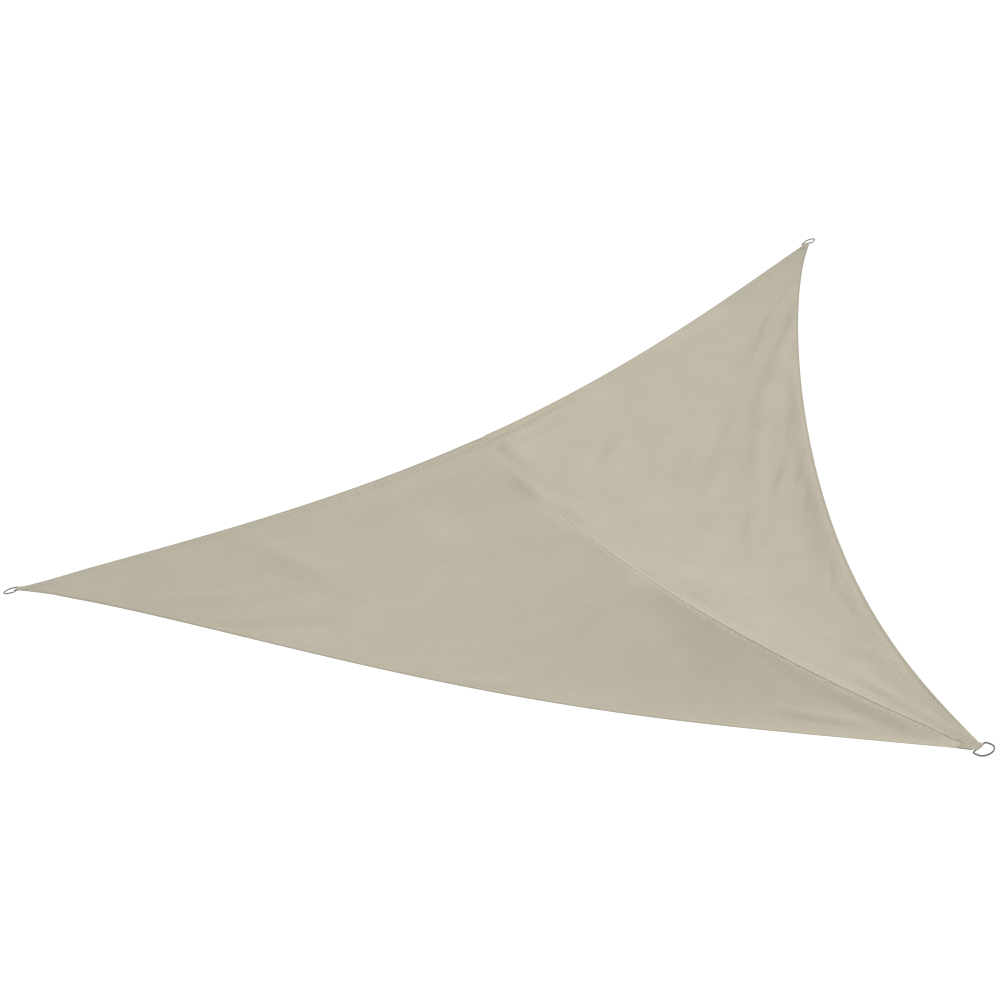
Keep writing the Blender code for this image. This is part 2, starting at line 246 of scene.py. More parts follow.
# %% [markdown]
# ## Creases
#
# The sail has 59 soft creases here. Each one is a line on the plan with a half width and a
# depth, so that a trough is depth * exp(-(distance / half width)^2). A numeric fit to the
# photograph's shading, under an assumed light, chose their places, widths and depths, and a
# few were then dropped. So the depths are estimates, and a faint crease may be none. This
# table holds the broad ones, which the solid model has too. A second table further down has
# the small ones, which only show as a change of tone: puckers, short ticks and streaks.

# %% Tables of creases
FOLD_RUNOUT = 0.1
# the seam and the hems are stiff: a crease runs out this far short of them
SEAM_STIFF = 0.05
HEM_STIFF = 0.07
# x0, y0, x1, y1, half_width, depth: a trough has a depth above 0 and a ridge one below 0
FOLDS = (
    (-1.75, 1.65, -2.21, 2.03, 0.055, -0.013),
    (-2.12, 1.66, -1.52, 1.76, 0.085, 0.011),
    (-0.61, 0.84, -0.81, 1.40, 0.085, 0.013),
    (-1.64, 1.94, -1.08, 2.14, 0.085, 0.009),
    (-1.49, 2.04, -1.17, 2.22, 0.085, 0.021),
    (-2.43, 1.50, -1.83, 1.50, 0.035, 0.010),
    (-1.09, 2.30, -1.27, 2.40, 0.085, -0.008),
    (-0.47, 1.19, -0.71, 1.47, 0.085, -0.014),
    (-1.42, 2.33, -0.90, 2.63, 0.035, -0.012),
    (-1.15, 2.12, -0.97, 2.44, 0.035, 0.008),
    (-1.22, 1.85, -0.76, 2.23, 0.085, -0.013),
    (-0.96, 2.16, -0.84, 2.50, 0.035, 0.010),
    (-0.75, 2.22, -0.81, 2.58, 0.035, 0.004),
    (-0.81, 1.84, -0.61, 2.40, 0.035, -0.007),
    (-0.59, 2.52, -0.63, 2.72, 0.055, 0.007),
    (-0.64, 2.03, -0.54, 2.21, 0.035, -0.008),
    (-0.64, 1.56, -0.34, 2.08, 0.035, -0.006),
    (-0.57, 1.85, -0.37, 2.41, 0.035, -0.010),
    (-0.63, 1.88, -0.17, 2.26, 0.085, 0.018),
    (-0.54, 1.56, -0.24, 2.08, 0.035, 0.012),
    (-0.47, 2.28, -0.27, 2.84, 0.085, 0.012),
    (-0.40, 1.80, -0.30, 2.40, 0.035, -0.009),
    (-0.26, 1.27, -0.26, 1.87, 0.055, 0.013),
    (-0.35, 2.47, -0.17, 2.79, 0.035, 0.012),
    (-0.34, 2.23, -0.14, 2.79, 0.035, -0.011),
    (-0.34, 2.61, -0.04, 3.13, 0.035, -0.012),
)


def troughs(rows, points):
    """Depth at each point, seen from above: the sum over the rows of
    depth * sin(pi * place along the crease) * exp(-(distance / half width)^2)."""
    depth = np.zeros(points.shape[:-1])
    for x0, y0, x1, y1, half_width, deepest in rows:
        start, run = np.array((x0, y0)), np.array((x1 - x0, y1 - y0))
        offset = points[..., :2] - start
        place = offset @ run / (run @ run)
        nearest = np.clip(place, 0.0, 1.0)[..., None] * run
        distance = np.linalg.norm(offset - nearest, axis=-1)
        taper = np.sin(math.pi * np.clip(FOLD_RUNOUT + place * (1.0 - 2.0 * FOLD_RUNOUT), 0.0, 1.0))
        depth += deepest * taper * np.exp(-(distance / half_width) ** 2)
    return depth


print(len(FOLDS), "broad creases")

# %% [markdown]
# ## The hung surface
#
# A panel is a grid of two parameters: s runs down the seam and u runs from the seam out to
# the free edge. A ruled surface between the two lines would be as stiff as card, so a belly
# and the creases are hung below it, and close to each bar the cloth is brought into the
# plane of its tab.

# %% Panel surface
# belly: how far a panel hangs below the straight line from the seam to its free edge
BELLY = {"left": 0.045, "right": 0.040}


def rim_curve(panel, s, cut):
    """The end of each row: first across the far corner's cut, for s up to cut, and then along
    the free edge down to the near corner."""
    far, edge = ("left", "front") if panel == "left" else ("high", "right")
    outer, inner = (tip(far, -1), tip(far, 1)) if panel == "left" else (tip(far, 1), tip(far, -1))
    across = outer + np.clip(s / cut, 0.0, 1.0)[..., None] * (inner - outer)
    down = np.clip((s - cut) / (1.0 - cut), 0.0, 1.0)
    free = edge_curve(edge, 1.0 - down if panel == "left" else down)
    return np.where((s < cut)[..., None], across, free)


def far_bow(panel, u):
    """How far the panel's half of the far edge leaves the straight line to its corner."""
    end = 0.0 if panel == "left" else 1.0
    edge = edge_curve("far", SEAM_FOOT + u * (end - SEAM_FOOT))
    foot, corner = edge_curve("far", SEAM_FOOT), edge_curve("far", end)
    return edge - foot - u[..., None] * (corner - foot)


def settle_corners(points):
    """Bring the cloth near each bar into the plane of its tab."""
    for corner in CORNER.values():
        offset = points - corner["at"]
        weight = fade(np.linalg.norm(offset, axis=-1), corner["flat"], corner["blend"])
        points = points - corner["normal"] * ((offset @ corner["normal"]) * weight)[..., None]
    return points


def free_of_sewing(rim, foot, s, u):
    """1 on the open cloth, and 0 at the seam and the free edges, which stay unfolded."""
    row = np.linalg.norm(rim - foot, axis=-1)
    seam = np.linalg.norm(seam_curve(0.0) - seam_curve(1.0))
    free = (1.0 - fade(u * row, 0.0, SEAM_STIFF)) * (1.0 - fade((1.0 - u) * row, 0.0, HEM_STIFF))
    return free * (1.0 - fade(s * seam, 0.0, HEM_STIFF))


def surface(panel, s, u, cut):
    """Ruled surface + the far edge's bow fading out as (1 - s)^2 - belly - creases."""
    s, u = np.broadcast_arrays(np.asarray(s, float), np.asarray(u, float))
    foot, rim = seam_curve(s), rim_curve(panel, s, cut)
    points = foot + u[..., None] * (rim - foot)
    points = points + far_bow(panel, u) * ((1.0 - s) ** 2)[..., None]
    creases = troughs(FOLDS, points) * free_of_sewing(rim, foot, s, u)
    hang = BELLY[panel] * bump(u) * bump(s) + creases
    return settle_corners(points - UP * hang[..., None])


# %% [markdown]
# ## Rows and columns
#
# A hem is cloth turned under and sewn down, so the grid needs close lines there: on the
# fold, on the row of stitches and just past it. The lapped seam needs them too. Elsewhere a
# line every centimetre is enough for creases that are three centimetres wide or more.

# %% Grid places
HEM_WIDTH = 0.038
# distances from a hemmed edge: the fold, the stitches, the end of the hem and flat cloth
HEM_LINES = np.array((0.0, 3.0, 12.0, 23.0, 31.0, 34.0, 38.0, 46.0)) / 1000
HEM_STITCHES = 5
# distances from the seam's edge: its fold, two rows of stitches and the end of the lap
SEAM_LINES = np.array((0.0, 1.5, 3.0, 6.0, 11.0, 17.0, 20.0, 22.0, 30.0)) / 1000
SEAM_STITCHES = (2, 5)
LAP_END = 7
# between a row of the cloth and its free edge
CORNER_SINE = math.sin(math.radians(60.0))
# the shortest row that still has the seam's and the hem's lines at their full distances
LEAST_ROW = {"seam": SEAM_LINES[-1] / 0.20, "hem": HEM_LINES[-1] / CORNER_SINE / 0.36}
FINE_ROWS = 290
FINE_COLUMNS = 136
COLUMN_EASE = 1.15
ROW_EASE = 0.5
SEAM_LENGTH = float(np.linalg.norm(seam_curve(1.0) - seam_curve(0.0)))
CUT = HEM_WIDTH / SEAM_LENGTH


def row_places():
    """s of each row: the hem's lines along the far edge, then rows closer at both ends."""
    hem = HEM_LINES / SEAM_LENGTH
    t = np.linspace(0.0, 1.0, FINE_ROWS)
    eased = t - ROW_EASE * np.sin(2 * math.pi * t) / (2 * math.pi)
    return np.concatenate((hem[:-1], hem[-1] + (1.0 - hem[-1]) * eased))[:, None]


def row_lengths(panel, rows):
    """Straight distance of each row from the seam to the free edge."""
    reach = rim_curve(panel, rows[:, 0], CUT) - seam_curve(rows[:, 0])
    return np.linalg.norm(reach, axis=-1)[:, None]


def column_places(panel, rows):
    """u of each column, row by row: the seam's lines, even columns, then the hem's lines."""
    length = row_lengths(panel, rows)
    lap = SEAM_LINES / np.maximum(length, LEAST_ROW["seam"])
    hem = HEM_LINES[::-1] / CORNER_SINE / np.maximum(length, LEAST_ROW["hem"])
    even = 1.0 - np.linspace(1.0, 0.0, FINE_COLUMNS)[None, 1:-1] ** COLUMN_EASE
    inner = lap[:, -1:] + even * (1.0 - hem[:, :1] - lap[:, -1:])
    return np.concatenate((lap, inner, 1.0 - hem), axis=1)


ROWS = row_places()
print(len(ROWS), "rows of", column_places("left", ROWS).shape[1], "points in each panel")

# %% [markdown]
# ## Small creases and puckers
#
# A row of stitches draws the cloth in, so it puckers beside the seam and inside the hems, a
# few centimetres from one pucker to the next. The puckers here are a sine along the line,
# whose phase wanders so that no two are alike, faded out to both sides of it.

# %% Small creases
SMALL_FOLDS = (
    (-2.34, 1.71, -2.52, 2.03, 0.035, -0.0034),
    (-2.47, 1.67, -2.11, 1.67, 0.035, -0.0073),
    (-1.84, 1.71, -2.18, 1.83, 0.035, 0.0026),
    (-1.79, 2.09, -1.27, 2.39, 0.055, -0.0140),
    (-1.58, 1.12, -1.22, 1.12, 0.035, -0.0065),
    (-1.41, 2.38, -1.09, 2.56, 0.022, 0.0069),
    (-1.10, 2.03, -0.92, 2.09, 0.085, 0.0095),
    (-1.24, 1.22, -0.72, 1.52, 0.055, -0.0123),
    (-1.11, 1.67, -0.75, 1.73, 0.055, 0.0025),
    (-0.98, 1.91, -0.60, 2.37, 0.035, -0.0067),
    (-0.93, 2.70, -0.41, 3.00, 0.055, -0.0133),
    (-0.44, 0.91, -0.74, 1.43, 0.022, 0.0033),
    (-0.45, 1.51, -0.39, 1.87, 0.022, -0.0050),
    (-0.36, 0.54, -0.48, 0.88, 0.022, 0.0026),
    (-0.64, 2.42, -0.18, 2.80, 0.035, 0.0077),
    (-0.24, 0.37, -0.48, 0.65, 0.014, -0.0047),
    (-0.49, 1.47, -0.19, 1.99, 0.022, 0.0044),
    (-0.36, 1.78, -0.30, 1.96, 0.022, 0.0069),
    (-0.51, 2.11, -0.13, 2.57, 0.035, -0.0071),
    (-0.16, 0.42, -0.46, 0.94, 0.014, 0.0023),
    (-0.40, 1.45, -0.22, 1.77, 0.035, 0.0050),
    (-0.33, 2.57, -0.21, 2.91, 0.014, -0.0034),
    (-0.17, 0.26, -0.35, 0.58, 0.014, 0.0036),
    (-0.27, 1.80, -0.23, 2.00, 0.022, 0.0067),
    (-0.27, 2.05, -0.21, 2.41, 0.022, 0.0054),
    (-0.26, 1.64, -0.22, 1.84, 0.014, 0.0037),
    (-0.32, 2.73, -0.14, 3.05, 0.014, 0.0048),
    (-0.07, 0.10, -0.37, 0.62, 0.035, 0.0035),
    (-0.24, 1.16, -0.20, 1.36, 0.014, 0.0037),
    (-0.18, 0.96, -0.22, 1.16, 0.014, 0.0028),
    (-0.20, 2.71, -0.16, 2.91, 0.022, 0.0055),
    (-0.06, 0.16, -0.26, 0.72, 0.022, -0.0075),
    (-0.00, 0.45, -0.30, 0.97, 0.022, -0.0026),
)
HEM_PUCKER = {"wavelength": 0.075, "depth": 0.0012, "offset": 0.048, "reach": 0.020}
SEAM_PUCKER = {"wavelength": 0.038, "depth": 0.0014, "offset": 0.024, "reach": 0.022}


def puckers(along, distance, size):
    """depth * (0.5 + 0.5 sin(2 pi along / wavelength + wandering phase))
    * exp(-((distance - offset) / reach)^2)."""
    wander = 1.7 * np.sin(along * 7.3) + 1.1 * np.sin(along * 17.9 + 1.0)
    wave = 0.5 + 0.5 * np.sin(2 * math.pi * along / size["wavelength"] + wander)
    return size["depth"] * wave * np.exp(-((distance - size["offset"]) / size["reach"]) ** 2)


print(len(SMALL_FOLDS), "small creases")

# %% [markdown]
# ## Panel grids
#
# Each panel is worked out as whole arrays: the middle of the cloth, its normal, and how far
# the cloth stands above and below that middle. The right panel's edge is turned under and
# lies over the left panel, which reaches 22 mm further beneath it. The two are lifted apart
# square to the lap, and are level again 60 mm away.

# %% Grids
CLOTH = 0.0015
HEM_THICKNESS = 0.003
SEAM_GAP = 0.0006
LIFT_KEPT = 0.025
LIFT_GONE = 0.060
# how far the drawn cloth stands each side of its middle: plain, and above and below in a hem
THIN = 0.0006
HEM_TOP = 0.0011
HEM_UNDER = 0.0014
# the lap's folded edge stands open round this share of the seam, and is pressed down elsewhere
LAP_OPEN = 0.78
LAP_OPEN_REACH = 0.34
LAP_OPEN_SHARE = 0.75
# half the turned-under layer, how wide its rounded fold is, and what is left between the layers
LAP_HALF = 0.0003
LAP_FOLD = 0.004
TOUCHING_GAP = 0.0001
STITCH_DIP = 0.0005
STITCH_REACH = 0.0025


def grid_normals(points):
    """Square to both grid directions, and on the upper side."""
    across, down = np.gradient(points, axis=1), np.gradient(points, axis=0)
    normals = unit(np.cross(across, down))
    return normals * np.sign(normals[..., 2:])


def line_lengths(points):
    """How far along a line each of its points is."""
    steps = np.linalg.norm(np.diff(points, axis=0), axis=1)
    return np.concatenate(((0.0,), np.cumsum(steps)))


def panel_surface(panel):
    """Points of a panel's middle, and each point's distance from the seam, the free edge and
    the far edge. Rows shorter than LEAST_ROW count as that long, so a hem narrows with them."""
    u = column_places(panel, ROWS)
    points = surface(panel, ROWS, u, CUT)
    length = row_lengths(panel, ROWS)
    away = {"seam": u * np.maximum(length, LEAST_ROW["seam"]),
            "rim": (1.0 - u) * np.maximum(length, LEAST_ROW["hem"]) * CORNER_SINE,
            "far": np.broadcast_to(ROWS * SEAM_LENGTH, u.shape)}
    down_rim = line_lengths(points[:, -1])[:, None]
    down_seam = line_lengths(points[:, 0])[:, None]
    along_far = u * line_lengths(points[0])[-1]
    foot = seam_curve(ROWS)
    rim = rim_curve(panel, ROWS, CUT)
    fine = troughs(SMALL_FOLDS, points) * free_of_sewing(rim, foot, ROWS, u)
    fine = fine + puckers(down_rim, away["rim"], HEM_PUCKER)
    fine = fine + puckers(along_far, away["far"], HEM_PUCKER)
    if panel == "right":
        fine = fine + puckers(down_seam, away["seam"], SEAM_PUCKER) * fade(ROWS, 0.10, 0.42)
    return points - grid_normals(points) * (fine * past_tabs(points))[..., None], away


def past_tabs(points):
    """0 close to each bar and 1 beyond 2 * HEM_FLAT of all of them."""
    return math.prod(1.0 - fade(from_bar(points, corner), HEM_FLAT, 2 * HEM_FLAT)
                     for corner in CORNER.values())


def hem_share(distance):
    """1 within the hem and 0 on the flat cloth past it."""
    return fade(distance, HEM_LINES[HEM_STITCHES], HEM_LINES[-1])


def stitch_groove(distance, at):
    """The dip that a row of stitches pulls: STITCH_DIP exp(-((distance - at) / STITCH_REACH)^2)."""
    return STITCH_DIP * np.exp(-((distance - at) / STITCH_REACH) ** 2)


def panel_grids():
    """Both panels: middle points, normals, above and below, with the lap made."""
    found = {name: panel_surface(name) for name in BELLY}
    lap_points = found["right"][0]
    lap_normals = grid_normals(lap_points)[:, :1]
    grids = {}
    for name, (points, away) in found.items():
        if name == "left":
            flap = slice(LAP_END, 0, -1)
            points = np.concatenate((lap_points[:, flap], points), axis=1)
            for edge in away:
                away[edge] = np.concatenate((found["right"][1][edge][:, flap], away[edge]), axis=1)
        hem = np.maximum(hem_share(away["rim"]), hem_share(away["far"])) * past_tabs(points)
        lifted = fade(np.linalg.norm(points - lap_points[:, :1], axis=-1), LIFT_KEPT, LIFT_GONE)
        at_seam = CLOTH + (HEM_THICKNESS - CLOTH) * hem_share(away["far"][:, :1])
        side = 1.0 if name == "right" else -1.0
        points = points + lap_normals * (side * (at_seam + SEAM_GAP) / 2 * lifted)[..., None]
        above = THIN + (HEM_TOP - THIN) * hem
        below = THIN + (HEM_UNDER - THIN) * hem
        for edge in ("rim", "far"):
            above = above - stitch_groove(away[edge], HEM_LINES[HEM_STITCHES]) * hem
        if name == "right":
            turned_under = fade(away["seam"], SEAM_LINES[LAP_END - 1], SEAM_LINES[LAP_END])
            share = np.linspace(0.0, 1.0, len(points))[:, None]
            opened = fade(np.abs(share - LAP_OPEN), LAP_OPEN_REACH / 2, LAP_OPEN_REACH)
            pressed = 1.0 - LAP_OPEN_SHARE * opened
            touching = at_seam + SEAM_GAP - 2 * THIN - (HEM_TOP - THIN) * hem - TOUCHING_GAP
            rounded = 2 * LAP_HALF * pressed * fade(away["seam"], 0.0, LAP_FOLD)
            above = above + turned_under * (LAP_HALF - rounded)
            below = below + turned_under * (LAP_HALF + (touching - LAP_HALF) * pressed)
            for row in SEAM_STITCHES:
                above = above - stitch_groove(away["seam"], SEAM_LINES[row])
        grids[name] = {"points": points, "normals": grid_normals(points), "above": above,
                       "below": below, "away": away}
    return grids


GRIDS = panel_grids()
for name, grid in GRIDS.items():
    print(name, "panel", grid["points"].shape[:2], "points, thickest",
          round(1000 * float((grid["above"] + grid["below"]).max()), 2), "mm")

# %% [markdown]
# ## What sewing and use do to the cloth, and painted light and shade
#
# Some things are finer than the grid: puckers two centimetres apart, the specks of thread and
# needle holes, and thin strain lines that run out of a corner. The surface finish draws those,
# and here each point of the cloth is given how strong they are. It is given its tone too, and
# much of it is painted light and shade: the left panel is painted darker than the right, the
# cloth by the near corner is painted lighter on the left panel and darker on the right, a
# painted shade lies beside the low end of the seam, a painted shadow lies in the step of the far
# hem and along each hem's folded edge, and the seam's folded edge and the cloth next to it are
# painted lighter where their shade falls. The cloth also darkens towards the left and high
# corners, and the hems make lighter bands.

# %% Strengths of sewing marks and wear
# each panel's tone: the left panel is set darker than the right, a painted shade. Then how much
# darker its cloth gets close to a corner: wholly within the near limit and not at all past the
# far one, in metres. Below 0 is lighter. By the near corner this is painted light on the left
# panel and painted shade on the right, which even out the shade of the steep cloth there. By
# the left and high corners the cloth is simply darker
PANEL_SHADE_TONE = {"left": 0.935, "right": 1.0}
CORNER_TONE_COLUMNS = ("panel", "corner", "darker", "near", "far")
CORNER_TONE_AND_SHADE = (
    ("left", "near", -0.145, 0.20, 1.20),
    ("right", "near", 0.050, 0.10, 0.60),
    ("left", "left", 0.075, 0.30, 1.50),
    ("right", "high", 0.110, 0.10, 0.80),
    ("left", "left", 0.050, 0.06, 0.22),
    ("right", "high", 0.050, 0.06, 0.22),
)
# along a panel's line, how much lighter the cloth is: wholly so up to near and not past far.
# A doubled hem lets less light through. Beside the low end of the seam the right panel is
# painted darker, a painted shade. The strengths here are matched to the photograph, and the hems'
# causes are guesses
BAND_COLUMNS = ("panel", "line", "lighter", "near", "far", "least_share", "full_share")
BANDS = (
    ("right", "rim", 0.080, 0.035, 0.065, 0.30, 0.42),
    ("left", "rim", 0.012, 0.035, 0.065, 0.45, 0.70),
    ("right", "seam", -0.035, 0.050, 0.260, 0.50, 0.80),
)
# a painted shadow in the step of the far hem: how much darker, from and to how far from the seam
HEM_STEP_SHADE = {"right": (0.065, -0.05, 0.38), "left": (0.025, 0.06, 0.30)}
TIP_SPECKLE = 0.05
SEAM_SPECKLE = 0.13
HEM_SPECKLE = 0.06
# a painted shade line along each hem's folded edge
HEM_FOLD_SHADE = 0.20
SEAM_LIGHT = 0.05
# painted light on the seam's folded edge and the cloth next to it, where their shade falls, most of
# all near the far edge
SEAM_FOLD_PAINTED_LIGHT = 0.34
BESIDE_SEAM_PAINTED_LIGHT = 0.10
SEAM_PUCKER_HEIGHT = 0.0018
HEM_PUCKER_HEIGHT = 0.0008
STRAIN_HEIGHT = 0.0007
STRAIN_REACH = {"near": 1.3, "left": 0.9, "high": 1.1}
LEFT_PUCKER_SHARE = 0.3
# the middle of the puckered strip beside a hem, from its edge
HEM_STEP_AT = 0.040
print(len(CORNER_TONE_AND_SHADE), "rows of corner wear and", len(BANDS), "bands")


# %% Marks of each point
def sewing_marks(name, grid):
    """For each point of a panel: tone, speckle, seam_pucker, hem_pucker and strain, and its
    places along the seam and hem (sewing) and round its nearest corner (fan)."""
    points, away = grid["points"], grid["away"]
    hem = np.minimum(away["rim"], away["far"])
    seam = away["seam"]
    share = np.broadcast_to(np.linspace(0.0, 1.0, points.shape[0])[:, None], seam.shape)
    # the left panel's tone is painted darker, a painted shade, and a painted shade line runs along
    # each hem's folded edge
    tone = np.full(seam.shape, PANEL_SHADE_TONE[name]) - HEM_FOLD_SHADE * fade(hem, 0.002, 0.006)
    # close to a corner: painted light and painted shade by the near corner, and darker cloth
    # towards the left and high corners
    for row in (row_of(CORNER_TONE_COLUMNS, values) for values in CORNER_TONE_AND_SHADE):
        if row["panel"] == name:
            distance = from_bar(points, CORNER[row["corner"]])
            tone = tone - row["darker"] * fade(distance, row["near"], row["far"])
    # bands: lighter along the hems, and a painted shade beside the low end of the seam
    for row in (row_of(BAND_COLUMNS, values) for values in BANDS):
        if row["panel"] == name:
            held = fade(away[row["line"]], row["near"], row["far"])
            low_end = 1.0 - fade(share, row["least_share"], row["full_share"])
            tone = tone + row["lighter"] * held * low_end
    along_far = np.broadcast_to(line_lengths(points[0])[None, :], seam.shape)
    # a painted shadow in the step of the far hem
    darker, first, last = HEM_STEP_SHADE[name]
    middle, reach = (first + last) / 2, (last - first) / 2
    painted_shade = darker * fade(np.abs(away["far"] - HEM_STEP_AT), 0.004, 0.012)
    tone = tone - painted_shade * fade(np.abs(along_far - middle), 0.6 * reach, reach)
    strain = np.zeros(seam.shape)
    fan = np.zeros(seam.shape + (2,))
    nearest = np.full(seam.shape, np.inf)
    for corner_name, corner in CORNER.items():
        offset = points - corner["at"]
        distance = np.linalg.norm(offset, axis=-1)
        reach = STRAIN_REACH[corner_name]
        strain = strain + fade(distance, 0.2 * reach, reach) * (1.0 - fade(distance, 0.06, 0.12))
        angle = np.arctan2(offset @ corner["bar"], offset @ corner["inward"])
        closer = distance < nearest
        fan[closer] = np.stack((angle, distance), axis=-1)[closer]
        nearest = np.minimum(nearest, distance)
    near_seam = fade(seam, 0.006, 0.018) * (0.35 + 0.65 * (1.0 - fade(share, 0.05, 0.45)))
    # painted light on the seam's folded edge and beside it, where their shade falls, strongest
    # towards the far edge
    painted_light_strength = 0.6 + 0.4 * fade(share, 0.45, 0.65)
    if name == "right":
        seam_painted_light = SEAM_FOLD_PAINTED_LIGHT * fade(seam, 0.001, 0.003)
    else:
        seam_painted_light = BESIDE_SEAM_PAINTED_LIGHT * fade(seam, 0.003, 0.009)
    marks = {"tone": tone + SEAM_LIGHT * near_seam + seam_painted_light * painted_light_strength,
             "speckle": (SEAM_SPECKLE * near_seam + HEM_SPECKLE * fade(hem, 0.030, 0.040)
                         + TIP_SPECKLE * fade(nearest, 0.10, 0.35)),
             "seam_pucker": SEAM_PUCKER_HEIGHT * fade(seam, 0.012, 0.100) * fade(share, 0.10, 0.45),
             "hem_pucker": (HEM_PUCKER_HEIGHT * fade(np.abs(hem - HEM_STEP_AT), 0.008, 0.028)
                            * (1.0 - fade(nearest, 0.10, 0.50))
                            * (1.0 - fade(np.abs(away["rim"] - away["far"]), 0.010, 0.030))),
             "strain": STRAIN_HEIGHT * strain}
    if name == "left":
        marks["seam_pucker"] = marks["seam_pucker"] * LEFT_PUCKER_SHARE
    down_seam = np.broadcast_to(line_lengths(points[:, 0])[:, None], seam.shape)
    down_rim = np.broadcast_to(line_lengths(points[:, -1])[:, None], seam.shape)
    along_hem = np.where(away["rim"] < away["far"], down_rim, along_far)
    marks["sewing"] = np.stack((down_seam, along_hem), axis=-1)
    marks["fan"] = fan
    return {mark: values.reshape(seam.size, -1).squeeze() for mark, values in marks.items()}


for name, grid in GRIDS.items():
    grid["marks"] = sewing_marks(name, grid)
    print(name, "panel's tone runs from", round(float(grid["marks"]["tone"].min()), 3), "to",
          round(float(grid["marks"]["tone"].max()), 3))

# %% [markdown]
# ## From grid to closed cloth
#
# Every cloth piece of the sail is made by the same rule: the grid's upper side, its under
# side, and one line of points round the rim that is pushed outwards by half the thickness.
# That makes the folded edges round instead of sharp, as cloth turned under is.

# %% Closed sheets
def place_object(name, data):
    """A new object of this data, in the scene."""
    made = bpy.data.objects.new(name, data)
    bpy.context.scene.collection.objects.link(made)
    return made


def fill_mesh(name, points, faces, finish, uv, marks=()):
    """Points (n, 3), four-cornered faces (m, 4) and a UV place in metres for each point, put
    into a smooth mesh whose object stays at the origin. A mark with two numbers a point
    becomes one more UV layer, and one with one number a plain attribute."""
    mesh = bpy.data.meshes.new(name)
    mesh.from_pydata(points.tolist(), [], faces.tolist())
    for layer, values in {"cloth": uv, **dict(marks)}.items():
        if values.ndim == 2:
            mesh.uv_layers.new(name=layer).data.foreach_set("uv", values[faces.ravel()].ravel())
        else:
            mesh.attributes.new(layer, "FLOAT", "POINT").data.foreach_set("value", values)
    mesh.shade_smooth()
    mesh.materials.append(finish)
    obj = place_object(name, mesh)
    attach(obj, "root")
    return obj


def closed_sheet(grid):
    """Points and faces of a sheet: middle + normal * above, middle - normal * below, and the
    rim's middle + outward * half the thickness."""
    middle, normals = grid["points"], grid["normals"]
    above, below = grid["above"][..., None], grid["below"][..., None]
    rows, columns = middle.shape[:2]
    count = rows * columns
    number = np.arange(count).reshape(rows, columns)
    down, across = middle[1:, :-1] - middle[:-1, :-1], middle[:-1, 1:] - middle[:-1, :-1]
    hand = np.sign((np.cross(down, across) * normals[:-1, :-1]).sum(axis=-1).mean())
    top = np.stack((number[:-1, :-1], number[1:, :-1], number[1:, 1:], number[:-1, 1:]), axis=-1)
    top = top.reshape(-1, 4)
    loop = np.concatenate((number[0, :-1], number[:-1, -1], number[-1, :0:-1], number[:0:-1, 0]))
    after = np.roll(loop, -1)
    rim = 2 * count + np.arange(len(loop))
    rim_after = np.roll(rim, -1)
    upper_wall = np.stack((loop, after, rim_after, rim), axis=-1)
    lower_wall = np.stack((rim, rim_after, after + count, loop + count), axis=-1)
    faces = np.concatenate((top, top[:, ::-1] + count, upper_wall, lower_wall))
    flat, flat_normals = middle.reshape(-1, 3), normals.reshape(-1, 3)
    along = flat[after] - flat[np.roll(loop, 1)]
    outward = unit(np.cross(flat_normals[loop], along)) * hand
    half = ((above + below) / 2).reshape(-1, 1)[loop]
    offset = ((above - below) / 2).reshape(-1, 1)[loop]
    round_edge = flat[loop] + flat_normals[loop] * offset + outward * half
    points = np.concatenate(((middle + normals * above).reshape(-1, 3),
                             (middle - normals * below).reshape(-1, 3), round_edge))
    if hand < 0:
        faces = faces[:, ::-1]
    return points, faces, np.concatenate((np.arange(count), np.arange(count), loop))


# %% [markdown]
# ## Colour values
#
# Colours are picked as sRGB hex values and turned to the linear values that the shader works
# in. One small function adds a node with its settings and links.

# %% Colour and nodes
def linear(code):
    """An sRGB hex colour as linear red, green, blue and alpha: v / 12.92 below 0.04045, and
    ((v + 0.055) / 1.055)^2.4 above."""
    values = [int(code[i:i + 2], 16) / 255 for i in (1, 3, 5)]
    return [v / 12.92 if v <= 0.04045 else ((v + 0.055) / 1.055) ** 2.4 for v in values] + [1.0]


def node(tree, kind, settings=(), values=(), **links):
    """A shader node: settings are its properties, values go to its first inputs in order, and
    links to its inputs by name, with _ for a blank. Each is a value or another node's output."""
    made = tree.nodes.new("ShaderNode" + kind)
    for name, value in dict(settings).items():
        setattr(made, name, value)
    ready = [socket for socket in made.inputs if socket.enabled]
    by_name = {socket.name: socket for socket in reversed(ready)}
    given = list(zip(ready, values)) + [(by_name[name.replace("_", " ")], value)
                                        for name, value in links.items()]
    for socket, value in given:
        if isinstance(value, bpy.types.NodeSocket):
            tree.links.new(value, socket)
        else:
            socket.default_value = value
    return made


def finish(name, colour, roughness, metallic=0.0):
    """A material with its shader's constant values set on its own sockets."""
    made = bpy.data.materials.new(name)
    made.use_nodes = True
    shader = made.node_tree.nodes["Principled BSDF"]
    shader.inputs["Base Color"].default_value = linear(colour)
    shader.inputs["Roughness"].default_value = roughness
    shader.inputs["Metallic"].default_value = metallic
    made.diffuse_color = linear(colour)
    return made, made.node_tree, shader


print("sand cloth is", [round(v, 3) for v in linear("#B2AC9B")])

# %% [markdown]
# ## Woven polyester
#
# Sail cloth of this kind is a plain weave of polyester yarn with a water-repellent coat. It
# is matt, its yarns vary a little in thickness and dye, and so a flat piece looks softly
# streaked along both threads and slightly mottled. The weave is two sets of waves that take
# turns on a checker: over, under, over, under.

# %% Woven cloth
# Real yarns lie about 0.5 mm apart, which no view of a 3.5 m sail can show. The weave is
# drawn with 2 mm to a yarn.
YARN = 0.002
CLOTH_COLOUR = "#B2AB99"
CLOTH_DARK = "#B0A997"
CLOTH_LIGHT = "#B4AD9B"
STREAK = 0.03
WEAVE_HEIGHT = 0.00014


